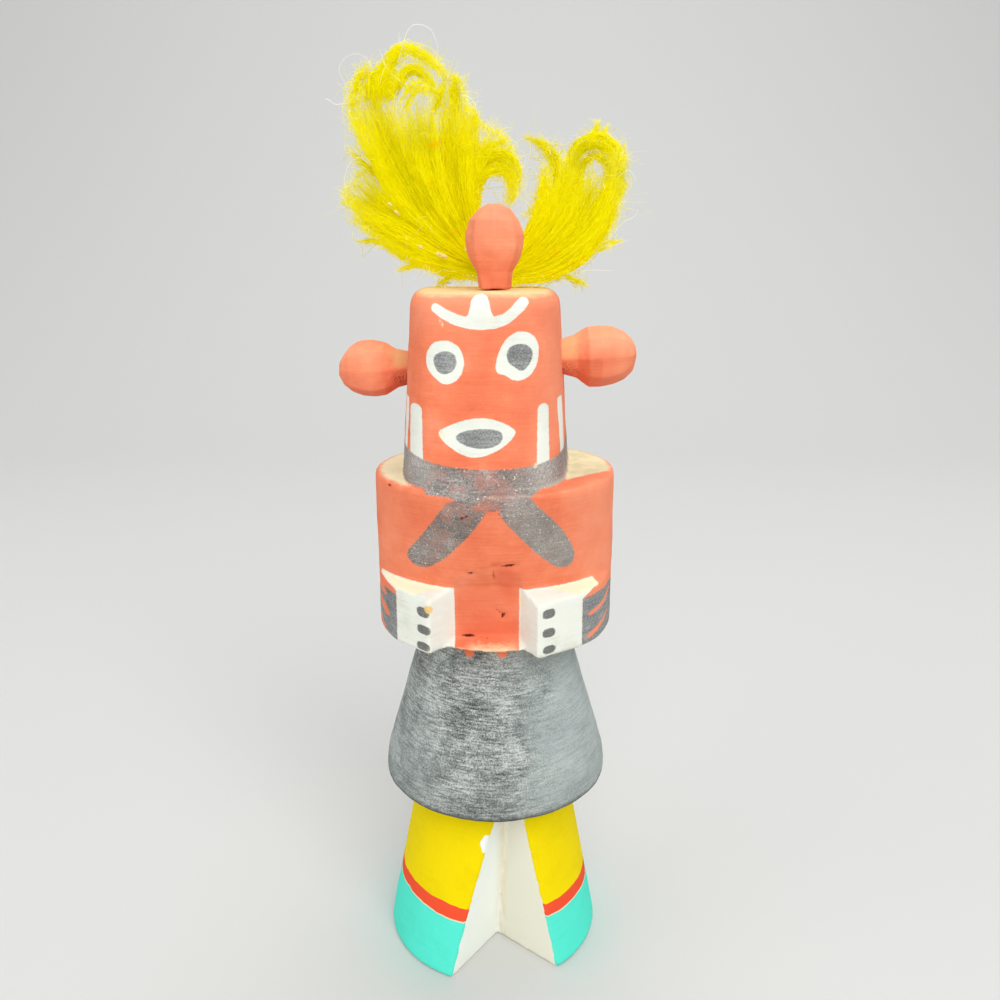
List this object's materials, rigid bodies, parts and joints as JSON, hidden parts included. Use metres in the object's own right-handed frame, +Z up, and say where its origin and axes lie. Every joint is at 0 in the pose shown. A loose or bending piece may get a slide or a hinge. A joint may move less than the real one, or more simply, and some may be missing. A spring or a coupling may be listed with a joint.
{
  "type": "kachina doll",
  "caption": "Small carved and painted wooden doll that stands on its feet, with knob ears, a top knob and a crest of dyed fur.",
  "frame": {"origin": "centre of the underside of the feet, on the axis of the round stick that the body is cut from", "axes": "+Z up, -Y the way the doll faces, +X towards the right of someone who looks at its face"},
  "size_m": [0.0614, 0.0504, 0.1915],
  "materials": {
    "painted_wood": "matte",
    "dyed_fur": "matte"
  },
  "bodies": {
    "root": {"carved_figure": "painted_wood", "ear_left": "painted_wood", "ear_right": "painted_wood", "top_knob": "painted_wood", "fur_crest": "dyed_fur"}
  },
  "joints": []
}
